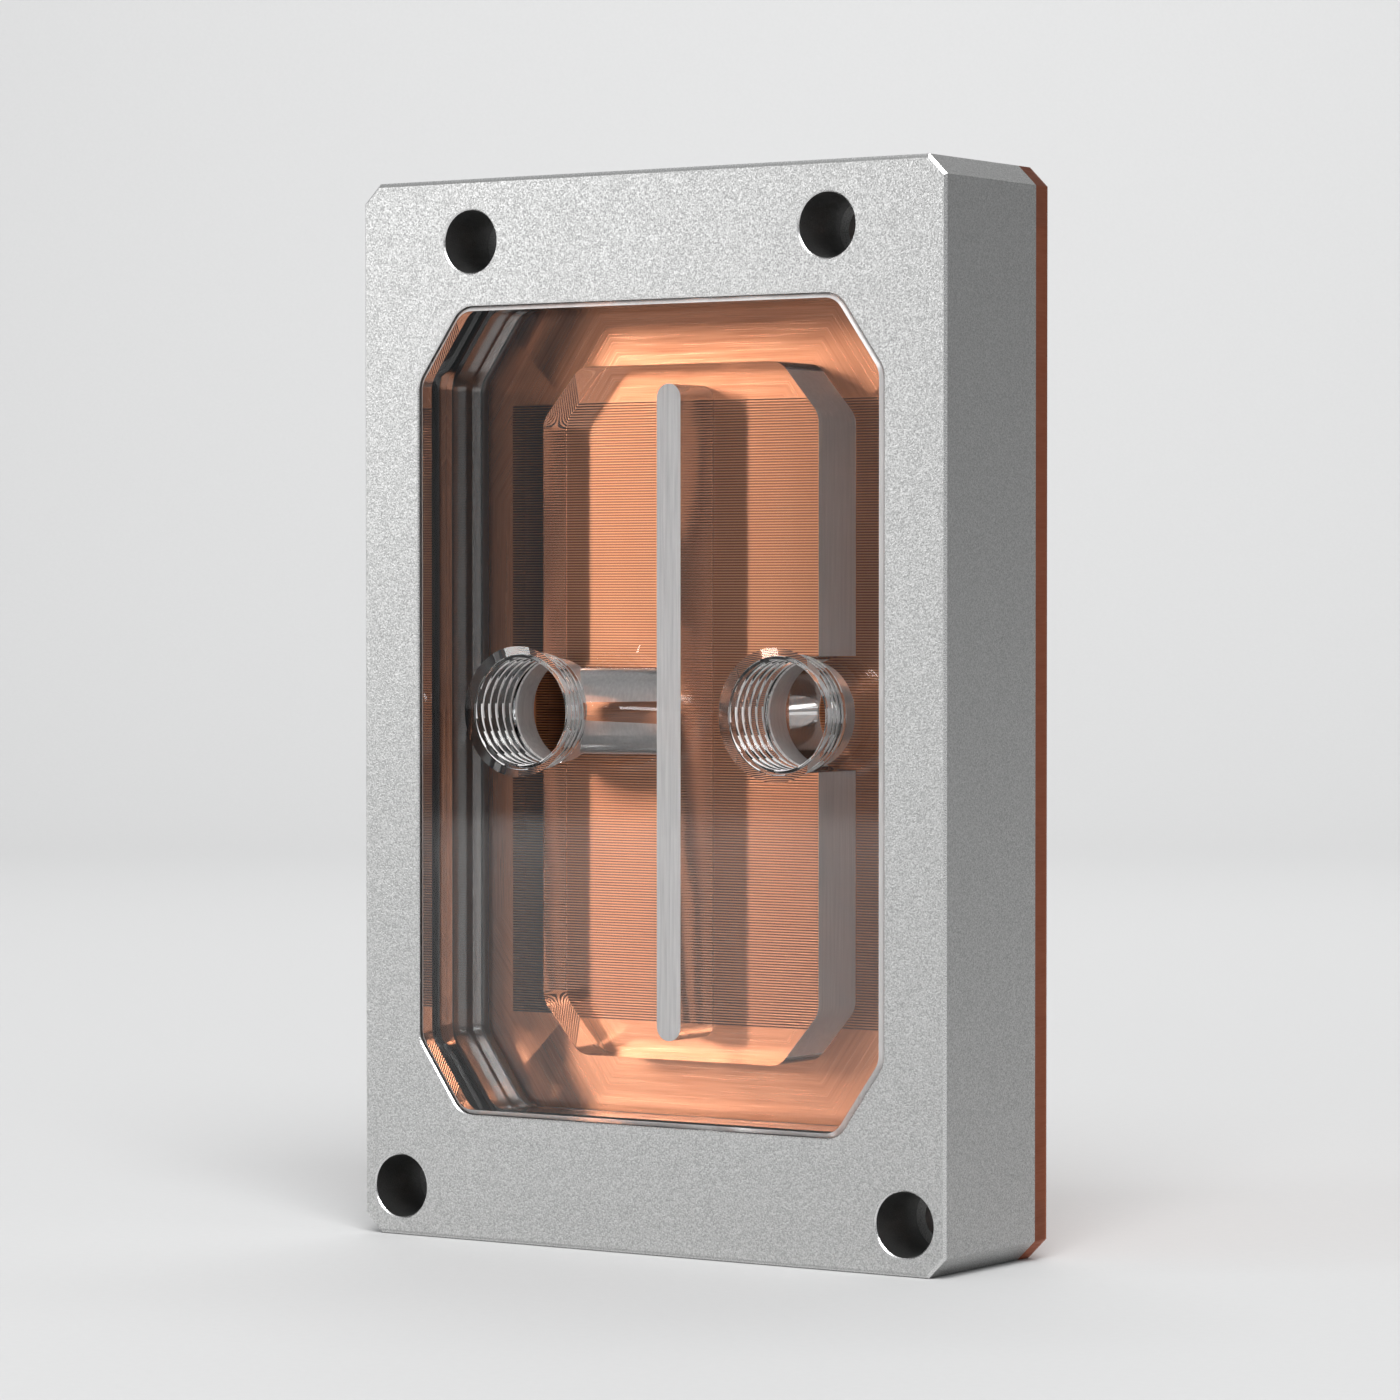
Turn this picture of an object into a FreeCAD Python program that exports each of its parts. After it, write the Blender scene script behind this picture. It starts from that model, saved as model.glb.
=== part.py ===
import FreeCAD, Part
import os
import Sketcher

# Liquid cooling cold plate, standing on its short edge as it is photographed.
# X runs across the block, Y runs from the front face to the copper at the back, Z is up.
# The origin is the middle of the base of its bounding box.

SIZES = [
    # Bead blasted frame, which the other pieces are fitted into from behind
    ("frame_width", "77.0"),
    ("frame_height", "119.0"),
    ("frame_depth", "18.9"),
    ("frame_corner", "2.2"),
    ("edge_break", "0.3"),
    ("side_border", "7.7"),
    ("upper_border", "14.2"),
    ("lower_border", "14.1"),
    ("window_cut_across", "5.8"),
    ("window_cut_up", "8.3"),
    ("window_radius", "3.0"),
    ("lip_depth", "4.0"),
    # Stepped holes for the screws that hold the block down
    ("upper_hole_inset", "7.0"),
    ("upper_hole_side_inset", "14.9"),
    ("lower_hole_inset", "5.5"),
    ("lower_hole_side_inset", "5.1"),
    ("mount_hole", "4.9"),
    ("mount_counterbore", "7.1"),
    ("counterbore_depth", "8.4"),
    ("hole_break", "0.15"),
    # Clear flow plate
    ("plate_clearance", "0.08"),
    ("plate_bevel", "0.5"),
    ("flange_side_reach", "3.4"),
    ("flange_end_reach", "2.9"),
    ("flange_radius", "3.0"),
    ("chamber_depth", "11.3"),
    ("chamber_side", "12.5"),
    ("chamber_end", "6.8"),
    ("island_cut_across", "5.0"),
    ("island_cut_up", "5.9"),
    ("island_radius", "2.6"),
    ("slot_width", "3.15"),
    ("slot_end_wall", "2.25"),
    ("slot_depth", "8.0"),
    ("channel_width", "9.6"),
    ("relief_width", "12.6"),
    # Threaded ports
    ("port_spacing", "34.1"),
    ("port_bore", "11.8"),
    ("port_mouth", "14.6"),
    ("mouth_depth", "0.75"),
    # Seal ring and the seat it lies in
    ("seal_seat_width", "2.5"),
    ("seal_height", "2.4"),
    ("seal_width", "2.4"),
    ("seal_bevel", "0.6"),
    # Copper plate with its field of micro-fins
    ("base_thickness", "2.7"),
    ("base_edge_break", "0.2"),
    ("fin_side_margin", "3.5"),
    ("fin_end_margin", "10.55"),
    ("fin_runout", "0.7"),
    ("fin_pitch", "0.3"),
    ("fin_gap", "0.15"),
    ("fin_depth", "1.5"),
    # Countersunk screws that hold the copper plate to the frame
    ("screw_thread", "2.0"),
    ("screw_length", "7.0"),
    ("screw_head", "3.6"),
    ("screw_head_height", "0.8"),
    ("screw_head_sink", "0.1"),
    ("screw_clearance", "0.1"),
    ("screw_fit", "0.02"),
    ("socket_across", "1.3"),
    ("socket_depth", "0.8"),
    ("screw_tip_room", "1.0"),
    ("side_screw_inset", "2.25"),
    ("side_screw_spacing", "36.0"),
    ("corner_screw_inset", "4.7"),
    ("upper_corner_screw_inset", "12.6"),
    ("end_screw_inset", "5.5"),
    ("lower_end_screw_spacing", "30.0"),
]

# Places worked out from the driving sizes
HALF_TOTAL = "(Sizes.frame_depth + Sizes.base_thickness) / 2"
PLATE_BACK = "Sizes.frame_depth"
COLD_FACE = "Sizes.frame_depth + Sizes.base_thickness"
WINDOW_WIDTH = "(Sizes.frame_width - 2 * Sizes.side_border)"
WINDOW_HEIGHT = "(Sizes.frame_height - Sizes.upper_border - Sizes.lower_border)"
MIDDLE = "(Sizes.lower_border + %s / 2)" % WINDOW_HEIGHT
ISLAND_WIDTH = "(%s - 2 * Sizes.chamber_side)" % WINDOW_WIDTH
ISLAND_HEIGHT = "(%s - 2 * Sizes.chamber_end)" % WINDOW_HEIGHT
SLOT_LENGTH = "(%s - 2 * Sizes.slot_end_wall)" % ISLAND_HEIGHT
FIN_LENGTH = "(%s - 2 * Sizes.fin_side_margin)" % WINDOW_WIDTH
FIN_FIELD = "(%s - 2 * Sizes.fin_end_margin)" % WINDOW_HEIGHT
DIAGONAL = "sqrt(Sizes.window_cut_across ^ 2 + Sizes.window_cut_up ^ 2)"

doc = FreeCAD.newDocument("ColdPlate")
sheet = doc.addObject("Spreadsheet::Sheet", "Sizes")
for row, (alias, value) in enumerate(SIZES, start=1):
    sheet.set("A%d" % row, alias)
    sheet.set("B%d" % row, value)
    sheet.setAlias("B%d" % row, alias)
doc.recompute()


def number(owner, text):
    """The present value of an expression on the sheet's sizes."""
    value = owner.evalExpression(text)
    return float(getattr(value, "Value", value))


def new_body(label):
    """An empty body with its own label."""
    body = doc.addObject("PartDesign::Body", label)
    body.Label = label
    return body


def plane_of(body, role):
    """One of a body's own origin planes or axes."""
    return [item for item in body.Origin.OriginFeatures if item.Role == role][0]


def new_sketch(body, name, role="XZ_Plane", across="0", up="0", along="0"):
    """A sketch on an origin plane, with its own origin moved to a place on the block."""
    sketch = body.newObject("Sketcher::SketchObject", name)
    sketch.AttachmentSupport = [(plane_of(body, role), "")]
    sketch.MapMode = "FlatFace"
    sketch.setExpression("AttachmentOffset.Base.x", across)
    sketch.setExpression("AttachmentOffset.Base.y", up)
    sketch.setExpression("AttachmentOffset.Base.z", along)
    return sketch


def front_sketch(body, name, depth, across="0", up=MIDDLE):
    """A sketch that faces the front, at a depth behind the frame's front face."""
    return new_sketch(body, name, "XZ_Plane", across, up, "%s - (%s)" % (HALF_TOTAL, depth))


def bind(sketch, constraint, text):
    """Add a dimension and tie it to the sheet."""
    index = sketch.addConstraint(constraint)
    sketch.setExpression("Constraints[%d]" % index, text)


def polygon(sketch, points):
    """A closed run of lines; returns the number of its first line."""
    first = sketch.GeometryCount
    count = len(points)
    for index, (start_x, start_y) in enumerate(points):
        end_x, end_y = points[(index + 1) % count]
        start = FreeCAD.Vector(start_x, start_y, 0)
        end = FreeCAD.Vector(end_x, end_y, 0)
        sketch.addGeometry(Part.LineSegment(start, end), False)
    for index in range(count):
        following = first + (index + 1) % count
        sketch.addConstraint(Sketcher.Constraint("Coincident", first + index, 2, following, 1))
    return first


def add_octagon(sketch, shape):
    """A rectangle with its corners cut off, round the sketch's origin."""
    width, height, across, up = shape
    half_x = number(sketch, width) / 2
    half_y = number(sketch, height) / 2
    flat_x = half_x - number(sketch, across)
    flat_y = half_y - number(sketch, up)
    first = polygon(sketch, [
        (-flat_x, -half_y), (flat_x, -half_y), (half_x, -flat_y), (half_x, flat_y),
        (flat_x, half_y), (-flat_x, half_y), (-half_x, flat_y), (-half_x, -flat_y),
    ])
    bottom, right, top, left = first, first + 2, first + 4, first + 6
    for line in (bottom, top):
        sketch.addConstraint(Sketcher.Constraint("Symmetric", line, 1, line, 2, -2))
    for line in (right, left):
        sketch.addConstraint(Sketcher.Constraint("Symmetric", line, 1, line, 2, -1))
    sketch.addConstraint(Sketcher.Constraint("Symmetric", bottom, 1, top, 2, -1))
    sketch.addConstraint(Sketcher.Constraint("Symmetric", left, 2, right, 1, -2))
    bind(sketch, Sketcher.Constraint("DistanceX", left, 2, right, 1, 2 * half_x), width)
    bind(sketch, Sketcher.Constraint("DistanceY", bottom, 1, top, 2, 2 * half_y), height)
    flat_width = "%s - 2 * (%s)" % (width, across)
    bind(sketch, Sketcher.Constraint("DistanceX", bottom, 1, bottom, 2, 2 * flat_x), flat_width)
    flat_height = "%s - 2 * (%s)" % (height, up)
    bind(sketch, Sketcher.Constraint("DistanceY", right, 1, right, 2, 2 * flat_y), flat_height)


def add_rectangle(sketch, width, height):
    """A rectangle round the sketch's origin."""
    half_x = number(sketch, width) / 2
    half_y = number(sketch, height) / 2
    corners = [(-half_x, -half_y), (half_x, -half_y), (half_x, half_y), (-half_x, half_y)]
    first = polygon(sketch, corners)
    sketch.addConstraint(Sketcher.Constraint("Horizontal", first))
    sketch.addConstraint(Sketcher.Constraint("Vertical", first + 1))
    sketch.addConstraint(Sketcher.Constraint("Horizontal", first + 2))
    sketch.addConstraint(Sketcher.Constraint("Vertical", first + 3))
    sketch.addConstraint(Sketcher.Constraint("Symmetric", first, 1, first + 1, 2, -1, 1))
    bind(sketch, Sketcher.Constraint("DistanceX", first, 1, first, 2, 2 * half_x), width)
    bind(sketch, Sketcher.Constraint("DistanceY", first + 1, 1, first + 1, 2, 2 * half_y), height)


def add_circle(sketch, diameter):
    """A circle round the sketch's origin."""
    radius = number(sketch, diameter) / 2
    circle = Part.Circle(FreeCAD.Vector(0, 0, 0), FreeCAD.Vector(0, 0, 1), radius)
    index = sketch.addGeometry(circle, False)
    sketch.addConstraint(Sketcher.Constraint("Coincident", index, 3, -1, 1))
    bind(sketch, Sketcher.Constraint("Radius", index, radius), "(%s) / 2" % diameter)


def add_circle_pair(sketch, spacing, diameter):
    """Two circles on the sketch's own level line, the same distance from its middle."""
    half = number(sketch, spacing) / 2
    radius = number(sketch, diameter) / 2
    indexes = []
    for side in (-1, 1):
        centre = FreeCAD.Vector(side * half, 0, 0)
        circle = Part.Circle(centre, FreeCAD.Vector(0, 0, 1), radius)
        index = sketch.addGeometry(circle, False)
        bind(sketch, Sketcher.Constraint("Radius", index, radius), "(%s) / 2" % diameter)
        indexes.append(index)
    left, right = indexes
    sketch.addConstraint(Sketcher.Constraint("PointOnObject", left, 3, -1))
    sketch.addConstraint(Sketcher.Constraint("Symmetric", left, 3, right, 3, -2))
    bind(sketch, Sketcher.Constraint("DistanceX", left, 3, right, 3, 2 * half), spacing)


def add_upright_slot(sketch, width, length):
    """A round-ended slot round the sketch's origin, standing upright."""
    radius = number(sketch, width) / 2
    reach = number(sketch, length) / 2 - radius
    quarter = 1.5707963267948966
    axis = FreeCAD.Vector(0, 0, 1)
    upper = Part.Circle(FreeCAD.Vector(0, reach, 0), axis, radius)
    lower = Part.Circle(FreeCAD.Vector(0, -reach, 0), axis, radius)
    top = sketch.addGeometry(Part.ArcOfCircle(upper, 0, 2 * quarter), False)
    bottom = sketch.addGeometry(Part.ArcOfCircle(lower, 2 * quarter, 4 * quarter), False)
    left_ends = [FreeCAD.Vector(-radius, reach, 0), FreeCAD.Vector(-radius, -reach, 0)]
    right_ends = [FreeCAD.Vector(radius, -reach, 0), FreeCAD.Vector(radius, reach, 0)]
    left = sketch.addGeometry(Part.LineSegment(*left_ends), False)
    right = sketch.addGeometry(Part.LineSegment(*right_ends), False)
    sketch.addConstraint(Sketcher.Constraint("Tangent", top, 2, left, 1))
    sketch.addConstraint(Sketcher.Constraint("Tangent", left, 2, bottom, 1))
    sketch.addConstraint(Sketcher.Constraint("Tangent", bottom, 2, right, 1))
    sketch.addConstraint(Sketcher.Constraint("Tangent", right, 2, top, 1))
    sketch.addConstraint(Sketcher.Constraint("Vertical", left))
    sketch.addConstraint(Sketcher.Constraint("Vertical", right))
    sketch.addConstraint(Sketcher.Constraint("Symmetric", top, 3, bottom, 3, -1, 1))
    bind(sketch, Sketcher.Constraint("Radius", top, radius), "(%s) / 2" % width)
    centres = "(%s) - (%s)" % (length, width)
    bind(sketch, Sketcher.Constraint("DistanceY", bottom, 3, top, 3, 2 * reach), centres)


def add_arch(sketch, width, leg):
    """A half-round arch with straight legs: the section left by a ball-nosed cutter."""
    radius = number(sketch, width) / 2
    length = number(sketch, leg)
    quarter = 1.5707963267948966
    circle = Part.Circle(FreeCAD.Vector(0, 0, 0), FreeCAD.Vector(0, 0, 1), radius)
    arc = sketch.addGeometry(Part.ArcOfCircle(circle, quarter, 3 * quarter), False)
    corners = [(0, -radius), (length, -radius), (length, radius), (0, radius)]
    points = [FreeCAD.Vector(x, y, 0) for x, y in corners]
    low = sketch.addGeometry(Part.LineSegment(points[0], points[1]), False)
    end = sketch.addGeometry(Part.LineSegment(points[1], points[2]), False)
    high = sketch.addGeometry(Part.LineSegment(points[2], points[3]), False)
    sketch.addConstraint(Sketcher.Constraint("Coincident", arc, 3, -1, 1))
    sketch.addConstraint(Sketcher.Constraint("Tangent", arc, 2, low, 1))
    sketch.addConstraint(Sketcher.Constraint("Coincident", low, 2, end, 1))
    sketch.addConstraint(Sketcher.Constraint("Coincident", end, 2, high, 1))
    sketch.addConstraint(Sketcher.Constraint("Tangent", high, 2, arc, 1))
    sketch.addConstraint(Sketcher.Constraint("Horizontal", low))
    sketch.addConstraint(Sketcher.Constraint("Horizontal", high))
    sketch.addConstraint(Sketcher.Constraint("Vertical", end))
    bind(sketch, Sketcher.Constraint("Radius", arc, radius), "(%s) / 2" % width)
    bind(sketch, Sketcher.Constraint("DistanceX", low, 1, low, 2, length), leg)


def add_fin_slot(sketch, length, runout, depth):
    """One saw cut seen along Z: full depth between sloped run-outs at its ends."""
    half_floor = number(sketch, length) / 2
    half_top = half_floor + number(sketch, runout)
    cut = number(sketch, depth)
    corners = [(-half_top, 0), (half_top, 0), (half_floor, cut), (-half_floor, cut)]
    first = polygon(sketch, corners)
    sketch.addConstraint(Sketcher.Constraint("PointOnObject", first, 1, -1))
    sketch.addConstraint(Sketcher.Constraint("Symmetric", first, 1, first, 2, -2))
    sketch.addConstraint(Sketcher.Constraint("Symmetric", first + 2, 1, first + 2, 2, -2))
    top_length = "%s + 2 * (%s)" % (length, runout)
    bind(sketch, Sketcher.Constraint("DistanceX", first, 1, first, 2, 2 * half_top), top_length)
    floor = Sketcher.Constraint("DistanceX", first + 2, 2, first + 2, 1, 2 * half_floor)
    bind(sketch, floor, length)
    bind(sketch, Sketcher.Constraint("DistanceY", first + 1, 1, first + 1, 2, cut), depth)


def pad(body, name, sketch, length):
    """Add material from the sketch towards the back of the block."""
    feature = body.newObject("PartDesign::Pad", name)
    feature.Profile = sketch
    feature.Reversed = True
    feature.setExpression("Length", length)
    doc.recompute()
    return feature


def pocket(body, name, sketch, length, towards_front=False):
    """Cut from the sketch towards the back, or towards the front."""
    before = body.Shape.Volume
    feature = body.newObject("PartDesign::Pocket", name)
    feature.Profile = sketch
    feature.Reversed = towards_front
    feature.setExpression("Length", length)
    doc.recompute()
    if body.Shape.Volume >= before:
        raise RuntimeError("%s cuts nothing: %s" % (name, feature.getStatusString()))
    return feature


def edge_names(shape, wanted):
    """The names of the edges that a test picks out."""
    return ["Edge%d" % number_of for number_of, edge in enumerate(shape.Edges, 1) if wanted(edge)]


def octagon_corners(body, shape, middle=MIDDLE):
    """The eight corners of an outline, as X and Z on the block."""
    width, height, across, up = [number(body, text) for text in shape]
    level = number(body, middle)
    corners = []
    for side in (-1, 1):
        for end in (-1, 1):
            corners.append((side * (width / 2 - across), level + end * height / 2))
            corners.append((side * width / 2, level + end * (height / 2 - up)))
    return corners


def depth_to_y(body, depth):
    """Y of a depth behind the front face."""
    return number(body, "(%s) - %s" % (depth, HALF_TOTAL))


def runs_at(edge, corners, front, back):
    """Whether an edge runs straight back at one of the corners, between two Y values."""
    near = 0.01
    start = edge.Vertexes[0].Point
    end = edge.Vertexes[-1].Point
    if abs(start.x - end.x) > near or abs(start.z - end.z) > near:
        return False
    if min(start.y, end.y) < front - near or max(start.y, end.y) > back + near:
        return False
    return any(abs(start.x - x) < near and abs(start.z - z) < near for x, z in corners)


def round_corners(body, name, shape, radius, front, back):
    """Round the corners of an outline between two depths."""
    base = body.Tip
    corners = octagon_corners(body, shape)
    front_y = depth_to_y(body, front)
    back_y = depth_to_y(body, back)
    names = edge_names(base.Shape, lambda edge: runs_at(edge, corners, front_y, back_y))
    if len(names) != 8:
        raise RuntimeError("%s found %d corners" % (name, len(names)))
    feature = body.newObject("PartDesign::Fillet", name)
    feature.Base = (base, names)
    feature.setExpression("Radius", radius)
    doc.recompute()
    return feature


def lies_on_outline(edge, half_x, low, high, level):
    """Whether an edge lies on a level Y and within a frame of half_x, low and high."""
    near = 0.01
    box = edge.BoundBox
    if abs(box.YMin - level) > near or abs(box.YMax - level) > near:
        return False
    inside = abs(box.XMin) <= half_x + near and abs(box.XMax) <= half_x + near
    return inside and box.ZMin >= low - near and box.ZMax <= high + near


def rims_at(body, diameter, depth):
    """The round edges of one diameter that lie at a depth behind the front face."""
    radius = number(body, diameter) / 2
    level = depth_to_y(body, depth)

    def wanted(edge):
        """Whether an edge is one of those rims."""
        box = edge.BoundBox
        if abs(box.YMin - level) > 0.01 or abs(box.YMax - level) > 0.01:
            return False
        return abs(getattr(edge.Curve, "Radius", 0) - radius) < 0.001

    return edge_names(body.Tip.Shape, wanted)


def bevel(body, name, edges, size, across=None):
    """A bevel on named edges, at 45 degrees unless its size across the face is given."""
    if not edges:
        raise RuntimeError("%s found no edges" % name)
    base = body.Tip
    feature = body.newObject("PartDesign::Chamfer", name)
    feature.Base = (base, edges)
    if across is not None:
        feature.ChamferType = "Two distances"
        feature.FlipDirection = False
        feature.setExpression("Size2", across)
    feature.setExpression("Size", size)
    doc.recompute()
    return feature


def grown(reach_side, reach_end, reach_diagonal):
    """The window's outline moved outwards, its cut corners kept parallel."""
    width = "(%s + 2 * (%s))" % (WINDOW_WIDTH, reach_side)
    height = "(%s + 2 * (%s))" % (WINDOW_HEIGHT, reach_end)
    lean = "((%s) * %s)" % (reach_diagonal, DIAGONAL)
    corner = "(Sizes.%s + (%s) - (%s - Sizes.%s * (%s)) / Sizes.%s)"
    cut_across = "window_cut_across"
    cut_up = "window_cut_up"
    across = corner % (cut_across, reach_side, lean, cut_across, reach_end, cut_up)
    up = corner % (cut_up, reach_end, lean, cut_up, reach_side, cut_across)
    return (width, height, across, up)


WINDOW = grown("0", "0", "0")
BOSS = grown("-Sizes.plate_clearance", "-Sizes.plate_clearance", "-Sizes.plate_clearance")
FLANGE = grown("Sizes.flange_side_reach", "Sizes.flange_end_reach", "Sizes.flange_end_reach")
FRAME_POCKET = grown(
    "Sizes.flange_side_reach + Sizes.plate_clearance",
    "Sizes.flange_end_reach + Sizes.plate_clearance",
    "Sizes.flange_end_reach + Sizes.plate_clearance",
)
SEAL_SEAT = grown("Sizes.seal_seat_width", "Sizes.seal_seat_width", "Sizes.seal_seat_width")
SEAL_INSIDE = grown(
    "Sizes.seal_seat_width - Sizes.seal_width",
    "Sizes.seal_seat_width - Sizes.seal_width",
    "Sizes.seal_seat_width - Sizes.seal_width",
)
ISLAND = (ISLAND_WIDTH, ISLAND_HEIGHT, "Sizes.island_cut_across", "Sizes.island_cut_up")
BLOCK = ("Sizes.frame_width", "Sizes.frame_height", "Sizes.frame_corner", "Sizes.frame_corner")
# A loop in the open chamber between its wall and the island
CHAMBER_MIDDLE = (
    "(%s - Sizes.chamber_side)" % WINDOW_WIDTH,
    "(%s - Sizes.chamber_end)" % WINDOW_HEIGHT,
    "(Sizes.window_cut_across + Sizes.island_cut_across) / 2",
    "(Sizes.window_cut_up + Sizes.island_cut_up) / 2",
)

# Pairs of holes: name, spacing across the block and height on the block
UPPER_SPACING = "Sizes.frame_width - 2 * Sizes.upper_hole_side_inset"
LOWER_SPACING = "Sizes.frame_width - 2 * Sizes.lower_hole_side_inset"
MOUNT_PAIRS = [
    ("upper", UPPER_SPACING, "Sizes.frame_height - Sizes.upper_hole_inset"),
    ("lower", LOWER_SPACING, "Sizes.lower_hole_inset"),
]
SIDE_SPACING = "Sizes.frame_width - 2 * Sizes.side_screw_inset"
CORNER_SPACING = "Sizes.frame_width - 2 * Sizes.corner_screw_inset"
SCREW_PAIRS = [
    ("upper_corner", CORNER_SPACING, "Sizes.frame_height - Sizes.upper_corner_screw_inset"),
    ("upper_side", SIDE_SPACING, MIDDLE + " + Sizes.side_screw_spacing / 2"),
    ("lower_side", SIDE_SPACING, MIDDLE + " - Sizes.side_screw_spacing / 2"),
    ("lower_end", "Sizes.lower_end_screw_spacing", "Sizes.end_screw_inset"),
]


def block_blank(body, depth, thickness):
    """The block's outline with its cut corners, padded to a thickness."""
    sketch = front_sketch(body, body.Label + "_outline", depth, "0", "Sizes.frame_height / 2")
    add_octagon(sketch, BLOCK)
    return pad(body, body.Label + "_blank", sketch, thickness)


def build_frame():
    """The aluminium frame: window, rear pocket, stepped holes and blind screw holes."""
    body = new_body("clamp_frame")
    block_blank(body, "0", "Sizes.frame_depth")
    window = front_sketch(body, "window_outline", "0")
    add_octagon(window, WINDOW)
    pocket(body, "window", window, "Sizes.lip_depth")
    round_corners(body, "window_corners", WINDOW, "Sizes.window_radius", "0", "Sizes.lip_depth")
    recess = front_sketch(body, "recess_outline", PLATE_BACK)
    add_octagon(recess, FRAME_POCKET)
    recess_depth = "Sizes.frame_depth - Sizes.lip_depth"
    pocket(body, "recess", recess, recess_depth, towards_front=True)
    radius = "Sizes.flange_radius + Sizes.plate_clearance"
    round_corners(body, "recess_corners", FRAME_POCKET, radius, "Sizes.lip_depth", PLATE_BACK)
    for name, spacing, level in MOUNT_PAIRS:
        sketch = front_sketch(body, name + "_mount_centres", "0", "0", level)
        add_circle_pair(sketch, spacing, "Sizes.mount_hole")
        pocket(body, name + "_mount_holes", sketch, "Sizes.frame_depth")
        sketch = front_sketch(body, name + "_counterbore_centres", "0", "0", level)
        add_circle_pair(sketch, spacing, "Sizes.mount_counterbore")
        pocket(body, name + "_counterbores", sketch, "Sizes.counterbore_depth")
    blind = "Sizes.screw_length - Sizes.base_thickness + Sizes.screw_tip_room"
    for name, spacing, level in SCREW_PAIRS:
        sketch = front_sketch(body, name + "_screw_centres", PLATE_BACK, "0", level)
        tapped = "Sizes.screw_thread + 2 * Sizes.screw_fit"
        add_circle_pair(sketch, spacing, tapped)
        pocket(body, name + "_tapped_holes", sketch, blind, towards_front=True)
    front_y = depth_to_y(body, "0")
    half_x = number(body, "Sizes.frame_width / 2")
    top = number(body, "Sizes.frame_height")

    def outer(edge):
        """Edges of the outline on the front face."""
        if not lies_on_outline(edge, half_x, 0, top, front_y):
            return False
        on_side = min(abs(abs(edge.CenterOfMass.x) - half_x), abs(edge.CenterOfMass.z)) < 0.01
        on_top = abs(edge.CenterOfMass.z - top) < 0.01
        corner = number(body, "Sizes.frame_corner")
        cut = abs(edge.CenterOfMass.x) > half_x - corner
        return on_side or on_top or cut

    def inner(edge):
        """Edges of the window and of the stepped holes on the front face."""
        if not lies_on_outline(edge, half_x, 0, top, front_y) or outer(edge):
            return False
        return edge.BoundBox.DiagonalLength > 0.5

    bevel(body, "outer_edge_break", edge_names(body.Tip.Shape, outer), "Sizes.edge_break")
    bevel(body, "inner_edge_break", edge_names(body.Tip.Shape, inner), "Sizes.hole_break")
    return body


def build_flow_plate():
    """The clear plate: a boss in the window, a flange behind the lip, and the coolant ways."""
    body = new_body("flow_plate")
    boss = front_sketch(body, "boss_outline", "0")
    add_octagon(boss, BOSS)
    pad(body, "boss", boss, "Sizes.lip_depth")
    radius = "Sizes.window_radius - Sizes.plate_clearance"
    round_corners(body, "boss_corners", BOSS, radius, "0", "Sizes.lip_depth")
    front_y = depth_to_y(body, "0")
    half_x = number(body, WINDOW_WIDTH) / 2
    top = number(body, "Sizes.frame_height")
    front_edges = edge_names(
        body.Tip.Shape, lambda edge: lies_on_outline(edge, half_x, 0, top, front_y))
    bevel(body, "front_bevel", front_edges, "Sizes.plate_bevel")
    flange = front_sketch(body, "flange_outline", "Sizes.lip_depth")
    add_octagon(flange, FLANGE)
    pad(body, "flange", flange, "Sizes.frame_depth - Sizes.lip_depth")
    round_corners(body, "flange_corners", FLANGE, "Sizes.flange_radius", "Sizes.lip_depth", PLATE_BACK)

    chamber = front_sketch(body, "chamber_outline", PLATE_BACK)
    add_octagon(chamber, WINDOW)
    add_octagon(chamber, ISLAND)
    chamber_height = "Sizes.frame_depth - Sizes.chamber_depth"
    pocket(body, "chamber", chamber, chamber_height, towards_front=True)
    round_corners(body, "chamber_corners", WINDOW, "Sizes.window_radius", "Sizes.chamber_depth", PLATE_BACK)
    round_corners(body, "island_corners", ISLAND, "Sizes.island_radius", "Sizes.chamber_depth", PLATE_BACK)

    seat = front_sketch(body, "seal_seat_outline", PLATE_BACK)
    add_octagon(seat, SEAL_SEAT)
    add_octagon(seat, CHAMBER_MIDDLE)
    pocket(body, "seal_seat", seat, "Sizes.seal_height", towards_front=True)
    seat_top = "Sizes.frame_depth - Sizes.seal_height"
    seat_radius = "Sizes.window_radius + Sizes.seal_seat_width"
    round_corners(body, "seal_seat_corners", SEAL_SEAT, seat_radius, seat_top, PLATE_BACK)

    slot = front_sketch(body, "slot_outline", PLATE_BACK)
    add_upright_slot(slot, "Sizes.slot_width", SLOT_LENGTH)
    pocket(body, "jet_slot", slot, "Sizes.frame_depth - Sizes.slot_depth", towards_front=True)
    build_ports(body)
    return body


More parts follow.
